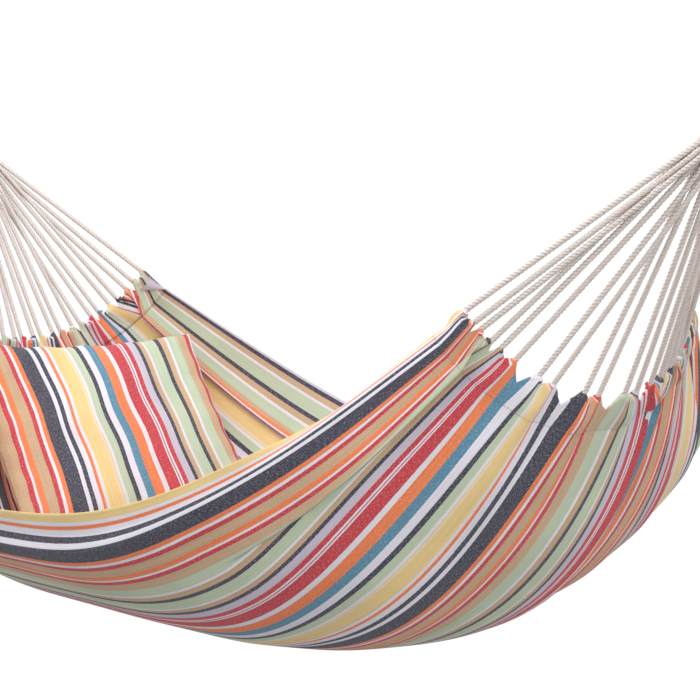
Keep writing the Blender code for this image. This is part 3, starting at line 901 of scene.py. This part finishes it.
def bed_grid():
    """The cloth as rows of points, from the head's flap to the foot's flap, with cloth
    coordinates: metres across the pattern and metres along the cloth."""
    q = np.linspace(-1, 1, LOOPS * BED_COLS + 1)
    s_half, run = keel_rows()
    total = run[-1]
    across = (q + 1) / 2 * CLOTH_W + PATTERN_START
    rows, coords = [], []

    def bed_line(s, distance):
        """One row of the cloth, with the near edge's roll and without it."""
        shift, step = pleat_shift(q, s)
        to_hem = total + HEM_DEPTH - abs(distance)
        u = thread_u(q, s) + shift + draw_in(q, s, to_hem)
        p, n = bed_frames(u, s)
        flat = p + n * (relief(q, s, to_hem) + step)[:, None]
        return roll_edge(q, s, u, flat, n), flat

    def hem_lines(head):
        """From just above the stitch line, over the hem and down the flap to the stitch line."""
        side = -1 if head else 1
        mirror = np.array([side, 1, 1])
        rolled, base = (line * mirror for line in bed_line(side * STITCH_S, side * total))
        centre, radius, top, inward = hem_edge(q, head)
        out, along = [], []
        outer = centre - inward * radius[:, None]
        for t in np.arange(1, HEM_ROWS + 1) / HEM_ROWS:
            swell = inward * (-TAB_SWELL * math.sin(math.pi * t) * (1 - np.abs(tab_wave(q))))[:, None]
            curl = (rolled - base) * (1 - smooth((t - 0.35) / 0.6))
            out.append(base + (outer - base) * t + swell + curl)
            along.append(HEM_DEPTH * t)
        for phi in np.linspace(0, math.pi, ARCH_ROWS + 1)[1:]:
            out.append(centre + (top * math.sin(phi) - inward * math.cos(phi)) * radius[:, None])
            along.append(HEM_DEPTH + FOLD_RUN * phi)
        for row in range(1, HEM_ROWS + 1):
            t = row / HEM_ROWS
            front = out[HEM_ROWS - 1 - row] if row < HEM_ROWS else rolled
            out.append(front + inward * (2 * radius[:, None] * (1 - t) + FLAP_GAP * t))
            along.append(FLAP_START + HEM_DEPTH * t)
        return [line * mirror for line in out], along

    head_lines, head_along = hem_lines(True)
    foot_lines, foot_along = hem_lines(False)
    rows += head_lines[::-1]
    coords += [-total - a for a in head_along[::-1]]
    for distance, s in zip(np.concatenate([-run[:0:-1], run]), np.concatenate([-s_half[:0:-1], s_half])):
        rows.append(bed_line(s, distance)[0])
        coords.append(distance)
    rows += foot_lines
    coords += [total + a for a in foot_along]
    grid = np.array(rows) + ORIGIN
    uv = np.stack(np.broadcast_arrays(across[None, :], np.array(coords)[:, None]), axis=-1)
    return grid, uv


def make_bed():
    grid, uv = bed_grid()
    rows, cols, _ = grid.shape
    bed = mesh_piece("bed_sheet", grid.reshape(-1, 3), grid_faces(rows, cols), COTTON, uv.reshape(-1, 2))
    thick = bed.modifiers.new("thickness", "SOLIDIFY")
    thick.thickness, thick.offset = CLOTH, 0.0
    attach(bed, "hammock")
    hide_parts("bed_cloth")


make_bed()


# ---------------------------------------------------------------- the pillow
PILLOW_ACROSS = np.array([math.sin(PILLOW_TURN), math.cos(PILLOW_TURN), 0.0])
PILLOW_DOWN = np.array([math.cos(PILLOW_TURN) * math.cos(PILLOW_LEAN),
                        -math.sin(PILLOW_TURN) * math.cos(PILLOW_LEAN), -math.sin(PILLOW_LEAN)])
PILLOW_OUT = -np.cross(PILLOW_ACROSS, PILLOW_DOWN)
PILLOW_PATTERN = (0.146, 0.2226)    # metres into the pattern at the far side, and half the width
PILLOW_COLS = 121
PILLOW_SKIN = 0.0016                # each panel's distance from the seam's plane at the rim
CROWN_POWER = 0.42
PUCKER_SIDE, PUCKER_TOP, PUCKER_REACH = 0.0032, 0.0038, 0.13
DENT, LEAST_CROWN = 0.0030, 0.02    # dents, and the crown below which detail dies away
# How far the cover leans across: all of it, more to the far side, and more towards the bottom.
LEAN, LEAN_FAR, LEAN_DOWN, LEAN_DOWN_FAR = 0.012, 0.012, 0.017, 0.008
WIGGLE = 0.002
BED_ROOM, BED_STEP = 0.006, 0.002   # how near the back may come to the bed, and the search's step


def pillow_base(a, b):
    """A point in the pillow's middle surface; a runs to the far side and b down, from -1 to 1."""
    x = a * (1 - PILLOW_BOW * (1 - b * b)) * PILLOW_W / 2
    y = b * (1 - PILLOW_BOW * (1 - a * a)) * PILLOW_L / 2
    sag = PILLOW_SAG * ((1 - a * a) + (1 - b * b)) / 2
    return PILLOW_AT + ORIGIN + PILLOW_ACROSS * x + PILLOW_DOWN * y - PILLOW_OUT * sag


def pillow_height(a, b):
    """The filling's crown, with puckers that run in from the seam."""
    crown = PILLOW_T / 2 * (max(0.0, 1 - a * a) * max(0.0, 1 - b * b)) ** CROWN_POWER
    edge = math.exp(-(1 - abs(a)) / PUCKER_REACH)
    top = math.exp(-(1 - abs(b)) / PUCKER_REACH)
    pucker = PUCKER_SIDE * edge * math.sin(21 * b + 3 * a) + PUCKER_TOP * top * math.sin(17 * a + 2.0 + b)
    dents = DENT * math.sin(5.1 * a + 2.2 * b) * math.sin(3.3 * b - 1.7 * a + 0.6)
    return crown + (pucker + dents) * min(1.0, crown / LEAST_CROWN)


def back_depth(bed, base, height):
    """How far the back panel goes down: as deep as the front is high, or until it meets the bed."""
    depth = 0.0
    while depth < height:
        to_bed = bed.find_nearest(Vector(base - PILLOW_OUT * (depth + BED_STEP)))[3]
        if to_bed <= BED_ROOM:
            break
        depth += BED_STEP
    return min(depth, height)


def make_pillow():
    """A crowned front panel and a back panel that lies on the bed, joined round the rim."""
    bpy.context.view_layer.update()
    bed = BVHTree.FromObject(bpy.data.objects["bed_sheet"], bpy.context.evaluated_depsgraph_get())
    line = [math.sin(math.pi / 2 * (2 * i / (PILLOW_COLS - 1) - 1)) for i in range(PILLOW_COLS)]
    front, back, uvs = [], [], []
    for a in line:
        for b in line:
            height = pillow_height(a, b)
            lean = LEAN + LEAN_FAR * a + (LEAN_DOWN + LEAN_DOWN_FAR * a) * (1 + b)
            base = pillow_base(a, b) + PILLOW_ACROSS * lean
            wiggle = WIGGLE * math.sin(9 * b + 4 * a) * (1 - a * a) * (1 - b * b)
            front.append(base + PILLOW_OUT * (PILLOW_SKIN + height) + PILLOW_ACROSS * wiggle)
            uvs.append((PILLOW_PATTERN[0] + (1 - a) * PILLOW_PATTERN[1], b * PILLOW_L / 2))
            back.append(base - PILLOW_OUT * (PILLOW_SKIN + back_depth(bed, base, height)))
    n = PILLOW_COLS
    faces = grid_faces(n, n) + [f[::-1] for f in grid_faces(n, n, start=n * n)]
    rim = [i * n for i in range(n)] + [(n - 1) * n + j for j in range(1, n)] \
        + [i * n + n - 1 for i in range(n - 2, -1, -1)] + list(range(n - 2, 0, -1))
    for a, b in zip(rim, rim[1:] + rim[:1]):
        faces.append([a, b, n * n + b, n * n + a][::-1])
    pillow = mesh_piece("pillow_cover", front + back, faces, COTTON, uvs + uvs)
    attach(pillow, "pillow")
    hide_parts("pillow_front", "pillow_back", "pillow_filling")


make_pillow()
